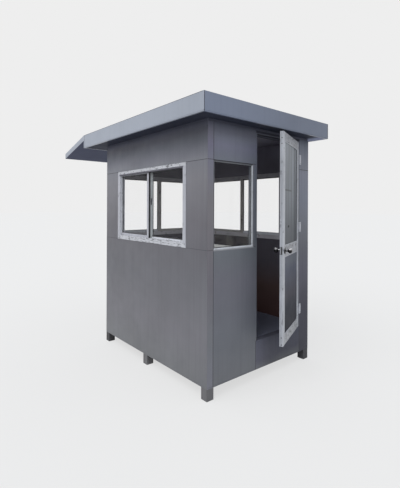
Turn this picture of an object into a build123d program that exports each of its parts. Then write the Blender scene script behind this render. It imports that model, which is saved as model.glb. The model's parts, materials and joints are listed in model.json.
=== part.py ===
from build123d import *
from math import cos, radians, sin
import os

os.makedirs("parts", exist_ok=True)

# Security guard booth. Millimetres, +Z up, ground at Z = 0.
# The front wall has the door and faces -Y, and +X runs to the right along it. The visor hangs over the
# rear, at +Y.
# The origin is at the middle of the booth's plan, from the knob of the ajar door to the nose of the visor.

# ---------------------------------------------------------------- driving dimensions

# Cabin
cabin_width = 1500.0
cabin_length = 1947.0
wall_thickness = 70.0
cladding_bottom = 105.0
wall_top = 2433.0

# Feet and floor
foot_margin = 10.0
middle_foot_offset = 38.0
floor_level = 385.0
floor_thickness = 18.0
joist_size = 60.0
joist_count = 4

# Window band, the same height all round
sill_level = 1306.0
window_height = 796.0
side_window_width = 1338.0
rear_window_width = 1200.0
rear_window_offset = 12.0

# Sliding window section: a frame with two grooves, one for each sash
frame_face = 48.0
frame_proud = 3.0
frame_depth = 67.0
groove_face = 28.0
groove_clearance = 1.0
sash_thickness = 16.0
outer_sash_depth = 18.0
inner_sash_depth = 40.0
sash_side_gap = 2.0
sash_top_gap = 3.0
sash_top_rail = 24.0
sash_bottom_rail = 46.0
sash_jamb_stile = 28.0
outer_meeting_stile = 34.0
inner_meeting_stile = 54.0
meeting_offset = 15.5
meeting_overlap = 17.0
window_glass = 5.0

# Small fixed window in the front wall, beside the left corner
front_frame_face = 16.0
front_frame_setback = 9.0
front_frame_depth = 27.0
front_glass_setback = 11.0

# Doorway, with the solid pier to its right
mullion_strip = 36.0
doorway_width = 709.0
right_pier_width = 95.0
header_height = 22.0
door_lining = 12.0
head_lining = 10.0
stop_overlap = 12.0
stop_gap = 7.0

# Door
door_ajar = 23.5
leaf_thickness = 34.0
leaf_gap = 5.0
leaf_stile = 62.0
leaf_top_rail = 82.0
leaf_bottom_rail = 92.0
mid_rail_height = 100.0
mid_rail_top = 1322.0
door_glass = 5.0
door_panel = 6.0
door_infill_setback = 6.0

# Outside hinges
hinge_levels = (581.0, 1474.0, 2207.0)
hinge_height = 105.0
knuckle_radius = 7.0
knuckle_standoff = 2.0
hinge_line_offset = 1.0
knuckle_end_gap = 0.5
pin_radius = 2.5
pin_clearance = 0.1
hinge_plate_thickness = 4.0
hinge_plate_width = 24.0
hinge_plate_offset = 10.0
hinge_tab_lift = 1.0
hinge_tab_reach = 2.0

# Knob set
knob_level = 1280.0
knob_backset = 60.0
knob_radius = 25.0
knob_half_depth = 21.0
knob_reach = 48.0
knob_neck_depth = 20.0
knob_face_radius = 13.0
knob_shank_radius = 11.0
spindle_radius = 6.0
spindle_hole_radius = 15.0
rose_radius = 33.0
rose_thickness = 8.0
rose_clearance = 0.5

# Counter along the left wall
counter_depth = 455.0
counter_top = 1297.0
counter_thickness = 25.0

# Roof
ceiling_inset = 6.0
soffit_level = 2458.0
soffit_thickness = 12.0
side_overhang = 167.0
front_overhang = 143.0
rear_overhang = 342.0
fascia_height = 166.0
fascia_thickness = 20.0
deck_thickness = 12.0
visor_reach = 670.0
visor_drop = 169.0
visor_thickness = 70.0

# ---------------------------------------------------------------- worked-out places

left_x = -cabin_width / 2
right_x = cabin_width / 2
window_top = sill_level + window_height

# Each foot stands under a corner of the walls and is a little wider than they are thick
foot_size = wall_thickness + foot_margin

# The front wall from right to left: pier, doorway, mullion strip, and the window in what is left
doorway_right = right_x - wall_thickness - right_pier_width
doorway_left = doorway_right - doorway_width
doorway_top = wall_top - header_height
front_window_right = doorway_left - mullion_strip
front_window_left = left_x + wall_thickness
front_window_width = front_window_right - front_window_left

# Door leaf in its closed place, beside the hinge line
leaf_width = doorway_width - 2 * (door_lining + leaf_gap)
leaf_bottom = floor_level + leaf_gap
leaf_top = doorway_top - head_lining - leaf_gap
leaf_right = doorway_right - door_lining - leaf_gap
hinge_x = leaf_right + leaf_gap + hinge_line_offset
hinge_standoff = knuckle_radius + knuckle_standoff
leaf_hinge_gap = hinge_x - leaf_right
knob_arm = leaf_hinge_gap + leaf_width - knob_backset

# The booth is centred between the visor's nose and the knob of the ajar door
knob_out = knob_reach + knob_half_depth - hinge_standoff
front_reach = hinge_standoff + knob_arm * sin(radians(door_ajar)) + knob_out * cos(radians(door_ajar))
rear_reach = cabin_length + rear_overhang + visor_reach
front_y = -(rear_reach - front_reach) / 2
rear_y = front_y + cabin_length
hinge_y = front_y - hinge_standoff

# Inside faces of the walls
room_left = left_x + wall_thickness
room_right = right_x - wall_thickness
room_front = front_y + wall_thickness
room_rear = rear_y - wall_thickness

# ---------------------------------------------------------------- planes

# Each wall plane lies on the wall's outer face: X to the right and Y up as seen from outside, Z outwards.
front_plane = Plane(origin=(0, front_y, 0), x_dir=(1, 0, 0), z_dir=(0, -1, 0))
rear_plane = Plane(origin=(0, rear_y, 0), x_dir=(-1, 0, 0), z_dir=(0, 1, 0))
left_plane = Plane(origin=(left_x, (front_y + rear_y) / 2, 0), x_dir=(0, -1, 0), z_dir=(-1, 0, 0))
right_plane = Plane(origin=(right_x, (front_y + rear_y) / 2, 0), x_dir=(0, 1, 0), z_dir=(1, 0, 0))

# The door's own frame: origin on the hinge line, X along the closed leaf towards the hinge side,
# turned to where the door stands ajar.
door_plane = Plane(
    origin=(hinge_x, hinge_y, 0),
    x_dir=(cos(radians(door_ajar)), sin(radians(door_ajar)), 0),
    z_dir=(0, 0, 1),
)


def shifted(plane, x, y, out=0.0):
    """The same plane with its origin moved by x and y in the plane and by out along its normal."""
    return Plane(origin=plane.from_local_coords((x, y, out)), x_dir=plane.x_dir, z_dir=plane.z_dir)


# The leaf's outer face, with its origin at ground level under the leaf's hinge edge.
leaf_origin = door_plane.from_local_coords((-leaf_hinge_gap, hinge_standoff, 0))
leaf_plane = Plane(origin=leaf_origin, x_dir=door_plane.x_dir, z_dir=-door_plane.y_dir)

# ---------------------------------------------------------------- helpers


def slab(x_span, y_span, z_span, plane=Plane.XY):
    """Add a block between two plan corners, raised from the lower to the upper height."""
    with BuildSketch(plane.offset(z_span[0])) as outline:
        with Locations(((x_span[0] + x_span[1]) / 2, (y_span[0] + y_span[1]) / 2)):
            Rectangle(x_span[1] - x_span[0], y_span[1] - y_span[0])
    extrude(outline.sketch, amount=z_span[1] - z_span[0])


def panel(plane, x_span, level_span, back, front=0.0):
    """Add a block drawn in elevation on a wall plane, from the depth back to the depth front."""
    with BuildSketch(plane.offset(back)) as outline:
        with Locations(((x_span[0] + x_span[1]) / 2, (level_span[0] + level_span[1]) / 2)):
            Rectangle(x_span[1] - x_span[0], level_span[1] - level_span[0])
    extrude(outline.sketch, amount=front - back)


def ring(plane, width, height, face, back, front):
    """Add a rectangular ring with the same face width all round, from the depth back to the depth front."""
    with BuildSketch(plane.offset(back)) as outline:
        Rectangle(width, height)
        Rectangle(width - 2 * face, height - 2 * face, mode=Mode.SUBTRACT)
    extrude(outline.sketch, amount=front - back)


def write(piece, name):
    """Label a finished piece and write it to its own file."""
    piece.part.label = name
    export_step(piece.part, f"parts/{name}.step")


# ---------------------------------------------------------------- feet and floor

foot_places = {
    "front": front_y,
    "middle": (front_y + rear_y - foot_size) / 2 + middle_foot_offset,
    "rear": rear_y - foot_size,
}
for side, foot_x in (("left", left_x), ("right", right_x - foot_size)):
    for row, foot_y in foot_places.items():
        with BuildPart() as foot:
            slab((foot_x, foot_x + foot_size), (foot_y, foot_y + foot_size), (0, cladding_bottom))
        write(foot, f"foot_{row}_{side}")

joist_top = floor_level - floor_thickness
joist_pitch = (room_rear - room_front - joist_size) / (joist_count - 1)
with BuildPart() as floor_joists:
    for index in range(joist_count):
        joist_y = room_front + index * joist_pitch
        slab((room_left, room_right), (joist_y, joist_y + joist_size), (joist_top - joist_size, joist_top))
write(floor_joists, "floor_joists")

with BuildPart() as floor_deck:
    slab((room_left, room_right), (room_front, room_rear), (joist_top, floor_level))
write(floor_deck, "floor_deck")

# ---------------------------------------------------------------- glazed walls


def glazed_wall(name, plane, length, window_width, window_offset=0.0):
    """Lower panel, two piers and upper panel of one wall, its window set off to the left."""
    end = length / 2
    jambs = (-window_width / 2 - window_offset, window_width / 2 - window_offset)
    with BuildPart() as lower_panel:
        panel(plane, (-end, end), (cladding_bottom, sill_level), -wall_thickness)
    write(lower_panel, f"{name}_wall_lower_panel")
    with BuildPart() as piers:
        panel(plane, (-end, jambs[0]), (sill_level, window_top), -wall_thickness)
        panel(plane, (jambs[1], end), (sill_level, window_top), -wall_thickness)
    write(piers, f"{name}_wall_piers")
    with BuildPart() as upper_panel:
        panel(plane, (-end, end), (window_top, wall_top), -wall_thickness)
    write(upper_panel, f"{name}_wall_upper_panel")


def sash(name, plane, stiles, face_depth):
    """One sash in its groove of the frame, from the outer edge of one stile to that of the other."""
    bottom = -window_height / 2 + groove_face
    top = window_height / 2 - groove_face - sash_top_gap
    glass_x = (stiles[0][1], stiles[1][0])
    glass_y = (bottom + sash_bottom_rail, top - sash_top_rail)
    with BuildPart() as sash_frame:
        sash_x = (stiles[0][0], stiles[1][1])
        panel(plane, sash_x, (bottom, top), -face_depth - sash_thickness, -face_depth)
        with BuildSketch(plane):
            with Locations(((glass_x[0] + glass_x[1]) / 2, (glass_y[0] + glass_y[1]) / 2)):
                Rectangle(glass_x[1] - glass_x[0], glass_y[1] - glass_y[0])
        extrude(amount=-frame_depth, mode=Mode.SUBTRACT)
    write(sash_frame, name)
    return glass_x, glass_y


def sliding_window(name, wall_plane, width, outer_side=-1):
    """Frame with two grooves, both panes, an inner sash, and an outer sash on the left (-1) or right (1)."""
    plane = shifted(wall_plane, 0, sill_level + window_height / 2)
    groove_depth = sash_thickness + 2 * groove_clearance
    outer_groove_front = groove_clearance - outer_sash_depth
    inner_groove_front = groove_clearance - inner_sash_depth
    outer_groove = (outer_groove_front - groove_depth, outer_groove_front)
    inner_groove = (inner_groove_front - groove_depth, inner_groove_front)
    with BuildPart() as window_frame:
        ring(plane, width, window_height, frame_face, frame_proud - frame_depth, inner_groove[0])
        ring(plane, width, window_height, groove_face, *inner_groove)
        ring(plane, width, window_height, frame_face, inner_groove_front, outer_groove[0])
        ring(plane, width, window_height, groove_face, *outer_groove)
        ring(plane, width, window_height, frame_face, outer_groove_front, frame_proud)
    write(window_frame, f"{name}_window_frame")

    # Stiles from the jamb to the meeting line, drawn for an outer sash on the left
    reach = width / 2 - groove_face - sash_side_gap
    outer_end = meeting_overlap / 2 - meeting_offset
    inner_start = outer_end - meeting_overlap
    outer_stiles = [(-reach, sash_jamb_stile - reach), (outer_end - outer_meeting_stile, outer_end)]
    inner_stiles = [(inner_start, inner_start + inner_meeting_stile), (reach - sash_jamb_stile, reach)]
    if outer_side > 0:
        outer_stiles = [(-right, -left) for left, right in reversed(outer_stiles)]
        inner_stiles = [(-right, -left) for left, right in reversed(inner_stiles)]
    outer = sash(f"{name}_window_outer_sash", plane, outer_stiles, outer_sash_depth)
    inner = sash(f"{name}_window_inner_sash", plane, inner_stiles, inner_sash_depth)
    pane_back = (sash_thickness + window_glass) / 2
    with BuildPart() as panes:
        for (glass_x, glass_y), depth in ((outer, outer_sash_depth), (inner, inner_sash_depth)):
            panel(plane, glass_x, glass_y, -depth - pane_back, -depth - pane_back + window_glass)
    write(panes, f"{name}_window_panes")


glazed_wall("left", left_plane, cabin_length, side_window_width)
glazed_wall("right", right_plane, cabin_length, side_window_width)
glazed_wall("rear", rear_plane, cabin_width - 2 * wall_thickness, rear_window_width, rear_window_offset)
sliding_window("left", left_plane, side_window_width)
sliding_window("right", right_plane, side_window_width, outer_side=1)
sliding_window("rear", shifted(rear_plane, -rear_window_offset, 0), rear_window_width)

# ---------------------------------------------------------------- front wall

front_pieces = {
    "front_wall_lower_panel": ((room_left, doorway_left), (cladding_bottom, sill_level)),
    "front_wall_upper_panel": ((room_left, doorway_left), (window_top, wall_top)),
    "front_wall_mullion_strip": ((front_window_right, doorway_left), (sill_level, window_top)),
    "front_wall_threshold_panel": ((doorway_left, doorway_right), (cladding_bottom, floor_level)),
    "front_wall_header_strip": ((doorway_left, doorway_right), (doorway_top, wall_top)),
    "front_wall_right_pier": ((doorway_right, room_right), (cladding_bottom, wall_top)),
}
for name, (x_span, level_span) in front_pieces.items():
    with BuildPart() as front_piece:
        panel(front_plane, x_span, level_span, -wall_thickness)
    write(front_piece, name)

front_window_x = (front_window_left + front_window_right) / 2
front_window_plane = shifted(front_plane, front_window_x, sill_level + window_height / 2)
front_frame_back = -front_frame_setback - front_frame_depth
with BuildPart() as front_window_frame:
    ring(
        front_window_plane,
        front_window_width,
        window_height,
        front_frame_face,
        front_frame_back,
        -front_frame_setback,
    )
write(front_window_frame, "front_window_frame")

front_glass_front = -front_frame_setback - front_glass_setback
half_pane_width = front_window_width / 2 - front_frame_face
half_pane_height = window_height / 2 - front_frame_face
with BuildPart() as front_window_pane:
    panel(
        front_window_plane,
        (-half_pane_width, half_pane_width),
        (-half_pane_height, half_pane_height),
        front_glass_front - window_glass,
        front_glass_front,
    )
write(front_window_pane, "front_window_pane")

# ---------------------------------------------------------------- doorway

# Each jamb is a lining as deep as the wall, with a stop behind the closed leaf; the head joins them.
stop_front = front_y + leaf_thickness + stop_gap
wall_span = (front_y, room_front)
stop_span = (stop_front, room_front)
head_bottom = doorway_top - head_lining
with BuildPart() as door_frame:
    slab((doorway_left, doorway_left + door_lining), wall_span, (floor_level, doorway_top))
    slab((doorway_right - door_lining, doorway_right), wall_span, (floor_level, doorway_top))
    slab((doorway_left, doorway_right), wall_span, (head_bottom, doorway_top))
    slab((doorway_left, doorway_left + door_lining + stop_overlap), stop_span, (floor_level, doorway_top))
    slab((doorway_right - door_lining - stop_overlap, doorway_right), stop_span, (floor_level, doorway_top))
    slab((doorway_left, doorway_right), stop_span, (head_bottom - stop_overlap, doorway_top))
write(door_frame, "door_frame")

# ---------------------------------------------------------------- hinges

knuckle_height = hinge_height / 3
hinge_plane = Plane(origin=(hinge_x, hinge_y, 0), x_dir=(1, 0, 0), z_dir=(0, 0, 1))


def knuckle(plane, z_span):
    """Add one barrel section of a hinge on the hinge line."""
    with BuildSketch(plane.offset(z_span[0])) as outline:
        Circle(knuckle_radius)
    extrude(outline.sketch, amount=z_span[1] - z_span[0])


# The fixed halves: a plate on the jamb, the end knuckles on short tabs, and the pin.
plate_y = (hinge_standoff - hinge_plate_thickness, hinge_standoff)
fixed_plate_x = (hinge_plate_offset, hinge_plate_offset + hinge_plate_width)
with BuildPart() as hinge_fixed_halves:
    for level in hinge_levels:
        low = level - hinge_height / 2
        high = level + hinge_height / 2
        slab(fixed_plate_x, plate_y, (low, high), hinge_plane)
        for tab_low in (low, high - knuckle_height):
            tab_span = (tab_low, tab_low + knuckle_height)
            slab((0, hinge_plate_offset), plate_y, tab_span, hinge_plane)
            knuckle(hinge_plane, tab_span)
        with BuildSketch(hinge_plane.offset(low)):
            Circle(pin_radius)
        extrude(amount=hinge_height)
write(hinge_fixed_halves, "hinge_fixed_halves")

# The door's halves: a plate on the leaf and the middle knuckle on its tab, which stays clear of the jamb.
door_plate_x = (-hinge_plate_offset - hinge_plate_width, -hinge_plate_offset)
door_tab_y = (plate_y[0], plate_y[1] - hinge_tab_lift)
with BuildPart() as hinge_door_halves:
    for level in hinge_levels:
        plate_span = (level - hinge_height / 2, level + hinge_height / 2)
        middle = knuckle_height / 2 - knuckle_end_gap
        tab_span = (level - middle, level + middle)
        slab(door_plate_x, plate_y, plate_span, door_plane)
        slab((-hinge_plate_offset, -hinge_tab_reach), door_tab_y, tab_span, door_plane)
        knuckle(door_plane, tab_span)
        with BuildSketch(door_plane.offset(tab_span[0])):
            Circle(pin_radius + pin_clearance)
        extrude(amount=tab_span[1] - tab_span[0], mode=Mode.SUBTRACT)
write(hinge_door_halves, "hinge_door_halves")

# ---------------------------------------------------------------- door

leaf_inner_x = (-leaf_width + leaf_stile, -leaf_stile)
glass_levels = (mid_rail_top, leaf_top - leaf_top_rail)
panel_levels = (leaf_bottom + leaf_bottom_rail, mid_rail_top - mid_rail_height)
knob_x = -leaf_width + knob_backset
with BuildPart() as door_leaf_frame:
    panel(leaf_plane, (-leaf_width, 0), (leaf_bottom, leaf_top), -leaf_thickness)
    with BuildSketch(leaf_plane):
        for levels in (glass_levels, panel_levels):
            with Locations(((leaf_inner_x[0] + leaf_inner_x[1]) / 2, (levels[0] + levels[1]) / 2)):
                Rectangle(leaf_inner_x[1] - leaf_inner_x[0], levels[1] - levels[0])
        with Locations((knob_x, knob_level)):
            Circle(spindle_hole_radius)
    extrude(amount=-leaf_thickness, mode=Mode.SUBTRACT)
write(door_leaf_frame, "door_leaf_frame")

for name, levels, thickness in (
    ("door_glass", glass_levels, door_glass),
    ("door_lower_panel", panel_levels, door_panel),
):
    with BuildPart() as sheet:
        panel(leaf_plane, leaf_inner_x, levels, -door_infill_setback - thickness, -door_infill_setback)
    write(sheet, name)

# The roses lie on both faces of the leaf and guide the knobs' shanks.
with BuildPart() as door_roses:
    for back in (-leaf_thickness - rose_thickness, 0):
        with BuildSketch(leaf_plane.offset(back)):
            with Locations((knob_x, knob_level)):
                Circle(rose_radius)
                Circle(knob_shank_radius + rose_clearance, mode=Mode.SUBTRACT)
        extrude(amount=rose_thickness)
write(door_roses, "door_roses")

# The knobs are one turned piece: both balls, their shanks and the spindle, about the knob line.
knob_centre = leaf_plane.from_local_coords((knob_x, knob_level, -leaf_thickness / 2))
knob_plane = Plane(origin=knob_centre, x_dir=(0, 0, 1), z_dir=door_plane.x_dir)
half_leaf = leaf_thickness / 2
ball_middle = half_leaf + knob_reach
ball_end = ball_middle + knob_half_depth
with BuildPart() as door_knobs:
    with BuildSketch(knob_plane):
        with BuildLine():
            for face in (-1, 1):
                Line((0, face * ball_end), (knob_face_radius, face * ball_end))
                ThreePointArc(
                    (knob_face_radius, face * ball_end),
                    (knob_radius, face * ball_middle),
                    (knob_shank_radius, face * (ball_middle - knob_neck_depth)),
                )
                Polyline(
                    (knob_shank_radius, face * (ball_middle - knob_neck_depth)),
                    (knob_shank_radius, face * half_leaf),
                    (spindle_radius, face * half_leaf),
                )
            Line((spindle_radius, -half_leaf), (spindle_radius, half_leaf))
            Line((0, -ball_end), (0, ball_end))
        make_face()
    revolve(axis=Axis(knob_centre, leaf_plane.z_dir))
write(door_knobs, "door_knobs")

# ---------------------------------------------------------------- counter

with BuildPart() as counter:
    slab(
        (room_left, room_left + counter_depth),
        (room_front, room_rear),
        (counter_top - counter_thickness, counter_top),
    )
write(counter, "counter")

# ---------------------------------------------------------------- roof

roof_left = left_x - side_overhang
roof_right = right_x + side_overhang
roof_front = front_y - front_overhang
roof_rear = rear_y + rear_overhang
roof_top = soffit_level + fascia_height
inner_x = (roof_left + fascia_thickness, roof_right - fascia_thickness)
inner_y = (roof_front + fascia_thickness, roof_rear - fascia_thickness)
fascia_levels = (soffit_level, roof_top)

with BuildPart() as ceiling_panel:
    slab(
        (left_x + ceiling_inset, right_x - ceiling_inset),
        (front_y + ceiling_inset, rear_y - ceiling_inset),
        (wall_top, soffit_level),
    )
write(ceiling_panel, "ceiling_panel")

with BuildPart() as soffit:
    slab(inner_x, inner_y, (soffit_level, soffit_level + soffit_thickness))
write(soffit, "roof_soffit")

fascias = {
    "front": ((roof_left, roof_right), (roof_front, inner_y[0])),
    "rear": ((roof_left, roof_right), (inner_y[1], roof_rear)),
    "left": ((roof_left, inner_x[0]), inner_y),
    "right": ((inner_x[1], roof_right), inner_y),
}
for side, (x_span, y_span) in fascias.items():
    with BuildPart() as fascia:
        slab(x_span, y_span, fascia_levels)
    write(fascia, f"roof_fascia_{side}")

with BuildPart() as roof_deck:
    slab(inner_x, inner_y, (roof_top - deck_thickness, roof_top))
write(roof_deck, "roof_deck")

# The visor is a slab of even depth that falls from the top edge of the rear fascia.
visor_plane = Plane(origin=(roof_left, roof_rear, roof_top), x_dir=(0, 1, 0), z_dir=(1, 0, 0))
with BuildPart() as rear_visor:
    with BuildSketch(visor_plane):
        with BuildLine():
            Polyline(
                (0, 0),
                (visor_reach, -visor_drop),
                (visor_reach, -visor_drop - visor_thickness),
                (0, -visor_thickness),
                close=True,
            )
        make_face()
    extrude(amount=roof_right - roof_left)
write(rear_visor, "rear_visor")
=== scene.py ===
# %% [markdown]
# # A security guard booth
# A small steel-framed cabin clad in dark grey sheet, with three sliding windows, a fixed
# front window, a glazed door that stands ajar, and a flat roof that runs out at the back
# into a sloping visor. The CAD model already has the right sizes, so it is loaded first
# and every finished piece takes its place from it.

# %% load the frame
import json
import math

import bpy
from mathutils import Matrix, Vector

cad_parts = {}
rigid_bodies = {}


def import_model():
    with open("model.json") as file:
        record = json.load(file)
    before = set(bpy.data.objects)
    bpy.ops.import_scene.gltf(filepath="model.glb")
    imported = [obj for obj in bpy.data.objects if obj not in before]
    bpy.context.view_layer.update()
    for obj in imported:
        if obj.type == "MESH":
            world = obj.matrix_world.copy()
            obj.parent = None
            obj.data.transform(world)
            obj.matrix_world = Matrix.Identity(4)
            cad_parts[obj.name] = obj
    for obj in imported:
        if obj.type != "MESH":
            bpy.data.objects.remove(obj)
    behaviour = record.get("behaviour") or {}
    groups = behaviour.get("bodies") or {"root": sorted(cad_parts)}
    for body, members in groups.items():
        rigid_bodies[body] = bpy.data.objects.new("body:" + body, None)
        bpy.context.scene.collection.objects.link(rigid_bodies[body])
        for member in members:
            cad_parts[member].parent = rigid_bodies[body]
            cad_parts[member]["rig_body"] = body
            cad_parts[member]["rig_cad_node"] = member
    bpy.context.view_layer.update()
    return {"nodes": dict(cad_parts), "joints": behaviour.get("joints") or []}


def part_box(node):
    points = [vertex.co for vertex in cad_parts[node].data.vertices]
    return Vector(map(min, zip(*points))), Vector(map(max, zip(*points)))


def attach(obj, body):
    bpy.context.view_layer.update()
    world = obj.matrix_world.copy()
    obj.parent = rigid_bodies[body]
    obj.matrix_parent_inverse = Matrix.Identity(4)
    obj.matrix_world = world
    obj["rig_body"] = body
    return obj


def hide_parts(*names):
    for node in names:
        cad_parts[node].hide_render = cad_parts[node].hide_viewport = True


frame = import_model()
MM = 0.001


def mm(*lengths):
    """Several lengths in millimetres, given in metres."""
    return [length * MM for length in lengths]


def span(node, axis):
    """Where a CAD node starts and ends along an axis: 0 for X, 1 for Y, 2 for Z."""
    return [corner[axis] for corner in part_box(node)]


# %% [markdown]
# ## The camera
# A person stands a few steps from the near corner and holds the camera level at eye
# height, so upright edges stay upright. The whole booth is fitted in by sliding the lens
# a little (the shift) instead of tilting it, and the camera is rolled by a fraction of a
# degree, as a hand-held one is.

# %% camera
EYE = (-2.81734, -3.69637, 1.67303)
HEADING, ROLL = math.radians(-39.882), math.radians(0.2264)
SENSOR, LENS, SHIFT = 36, 26.930, -0.07308

camera = bpy.data.objects.new("camera", bpy.data.cameras.new("camera"))
bpy.context.scene.collection.objects.link(camera)
camera.data.sensor_width = SENSOR
camera.data.lens = LENS
camera.data.shift_y = SHIFT
level = Matrix.Rotation(HEADING, 4, "Z") @ Matrix.Rotation(math.radians(90), 4, "X")
camera.matrix_world = Matrix.Translation(EYE) @ level @ Matrix.Rotation(ROLL, 4, "Z")
bpy.context.scene.camera = camera
bpy.context.scene.view_settings.view_transform = "Standard"
print("camera at", EYE, "lens", LENS)

# %% [markdown]
# ## Wiring shader nodes
# Every finish below is a small tree of nodes. Adding a node, setting its sockets and
# joining it up is the same three steps each time, so they are put into one helper, and
# a few more name the things a finish is made of: a noise, a mask cut from it, one colour
# laid over another through a mask, and two shaders blended.

# %% one node
def linear(code):
    """A colour written as on a paint card, such as 75767b, in the light values nodes use."""
    parts = [int(code[i : i + 2], 16) / 255 for i in (0, 2, 4)]
    return [c / 12.92 if c <= 0.04045 else ((c + 0.055) / 1.055) ** 2.4 for c in parts] + [1]


def add(tree, kind, props=None, **sockets):
    """A shader node; its sockets, named or numbered as s0, take a value, colour or link."""
    node = tree.nodes.new("ShaderNode" + kind)
    for key, value in (props or {}).items():
        setattr(node, key, value)
    for key, value in sockets.items():
        numbered = key[0] == "s" and key[1:].isdigit()
        socket = node.inputs[int(key[1:])] if numbered else node.inputs[key.replace("_", " ")]
        if isinstance(value, bpy.types.NodeSocket):
            tree.links.new(value, socket)
        else:
            socket.default_value = linear(value) if isinstance(value, str) else value
    return node


print("a mid grey in light values", [round(value, 3) for value in linear("808080")])

# %% places, clouds and masks
def spot(tree, scale=(1, 1, 1), shift=(0, 0, 0)):
    """Where a point of the piece lies, in metres, scaled and then shifted."""
    place = add(tree, "TexCoord").outputs["Object"]
    return add(tree, "Mapping", Vector=place, Scale=scale, Location=shift).outputs[0]


def noise(tree, scale, detail=3.0, stretch=(1, 1, 1), shift=(0, 0, 0), distortion=0.0):
    """A cloudy value from 0 to 1, so many clouds a metre, stretched along any axis."""
    return add(tree, "TexNoise", Vector=spot(tree, stretch, shift), Scale=scale, Detail=detail,
               Distortion=distortion).outputs[0]


def mask(tree, value, low, high, least=0.0, most=1.0):
    """The value stretched so that low gives least and high gives most."""
    return add(tree, "MapRange", s0=value, s1=low, s2=high, s3=least, s4=most).outputs[0]


def wander(tree, scale, detail, least, most):
    """A cloudy value that wanders between two bounds."""
    return mask(tree, noise(tree, scale, detail), 0.3, 0.7, least, most)


def over(tree, amount, under, top, way="MIX"):
    """The top colour laid over the one under it, by an amount from 0 to 1."""
    props = {"data_type": "RGBA", "blend_type": way}
    return add(tree, "Mix", props, s0=amount, s6=under, s7=top).outputs[2]


def tinted(tree, colour, amount, tint):
    """A colour multiplied by a tint, by an amount from 0 to 1."""
    return over(tree, amount, colour, tint, "MULTIPLY")


def height(tree):
    """How high a point of the piece is above the ground."""
    return add(tree, "SeparateXYZ", s0=spot(tree)).outputs[2]


def sideways(tree):
    """Where a point of the piece lies from left to right."""
    return add(tree, "SeparateXYZ", s0=spot(tree)).outputs[0]


def maths(tree, operation, *values):
    """One sum, such as ADD or MULTIPLY, on values or links."""
    sockets = {f"s{index}": value for index, value in enumerate(values)}
    return add(tree, "Math", {"operation": operation}, **sockets).outputs[0]


print("clouds, masks and sums ready")

# %% shaders
def blend(tree, amount, first, second):
    """Two shaders mixed, all of the first at 0 and all of the second at 1."""
    return add(tree, "MixShader", s0=amount, s1=first.outputs[0], s2=second.outputs[0])


def relief(tree, bump, depth, strength=1.0):
    """A bump of a depth in metres, for a shader's Normal socket."""
    return add(tree, "Bump", Height=bump, Distance=depth, Strength=strength).outputs[0]


def cleared(owner):
    """The emptied node tree of a material or a world."""
    owner.use_nodes = True
    owner.node_tree.nodes.clear()
    return owner.node_tree


def show(tree, shader, kind="Material"):
    """Join a shader to the output."""
    tree.links.new(shader.outputs[0], add(tree, "Output" + kind).inputs[0])


def new_finish(name):
    """A new material and its empty node tree."""
    material = bpy.data.materials.new(name)
    return material, cleared(material)


def dress(tree, colour, rough, bump, depth, metallic=0.0, gloss=0.5):
    """Show a Principled shader with a colour, a roughness and a bump depth in metres."""
    show(tree, add(tree, "BsdfPrincipled", Base_Color=colour, Roughness=rough, Metallic=metallic,
                   Specular_IOR_Level=gloss, Normal=relief(tree, bump, depth)))


print("shader helpers ready")

# %% [markdown]
# ## Painted sheet
# Walls, fascias, soffit, frame steel and floor are all coated sheet. A coat is never
# one flat tone: it drifts in broad clouds, rain leaves faint upright streaks, dust sits
# in fine specks, and splashes from the ground lighten the foot of the walls. One recipe
# lays these over each other, and each surface gets its own tone and amounts.

# %% painted sheet
TOP = 2.5


def ramp(tree, value, most, tones):
    """Colours laid along a value from 0 to most; tones are (value, colour), rising."""
    made = add(tree, "ValToRGB", Fac=mask(tree, value, 0, most))
    stops = made.color_ramp.elements
    stops.remove(stops[1])
    stops[0].position, stops[0].color = tones[0][0] / most, linear(tones[0][1])
    for at, tone in tones[1:]:
        stops.new(at / most).color = linear(tone)
    return made.outputs[0]


def by_height(tree, tones):
    """A colour that drifts with height; tones are (metres up, colour), from the ground up."""
    level = maths(tree, "ADD", height(tree), wander(tree, 2.5, 3, -0.02, 0.02))
    return ramp(tree, level, TOP, tones)


def base_of(tree, tone):
    """One colour, or a colour by height when there are several tones."""
    return tone if isinstance(tone, str) else by_height(tree, tone)


def painted(name, tone, tint="dddddf", rough=0.42, cloud=0.06, streaks=0.35, dust=0.0,
            gloss=0.5, fade=None):
    """Coated sheet: clouds, rain streaks, specks and splash dust over its tone or tones."""
    material, tree = new_finish(name)
    clouds = noise(tree, 1.3, 4, shift=(0.31, 0.17, 0.05))
    cloudy = mask(tree, clouds, 0.3, 0.7, 1 - 2 * cloud, 1 + 2 * cloud)
    colour = tinted(tree, base_of(tree, tone), 1.0, cloudy)
    if fade:
        colour = tinted(tree, colour, 1.0, mask(tree, sideways(tree), *fade))
    rain = noise(tree, 1.0, 5, stretch=(38, 38, 0.9))
    colour = tinted(tree, colour, mask(tree, rain, 0.5, 0.76, 0, streaks), tint)
    fine = noise(tree, 240, 2)
    colour = tinted(tree, colour, 1.0, mask(tree, fine, 0.66, 0.8, 1.0, 1.25))
    if dust:
        low = mask(tree, height(tree), 0.1, 0.45, dust, 0.0)
        patchy = mask(tree, noise(tree, 7, 5), 0.35, 0.7)
        colour = over(tree, maths(tree, "MULTIPLY", low, patchy), colour, "93928f")
    roughness = wander(tree, 9, 4, rough - 0.07, rough + 0.09)
    grain = maths(tree, "MULTIPLY_ADD", noise(tree, 900, 1), 0.06, noise(tree, 2.2, 2))
    dress(tree, colour, roughness, grain, 0.0012, gloss=gloss)
    return material


print("painted sheet ready")
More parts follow.
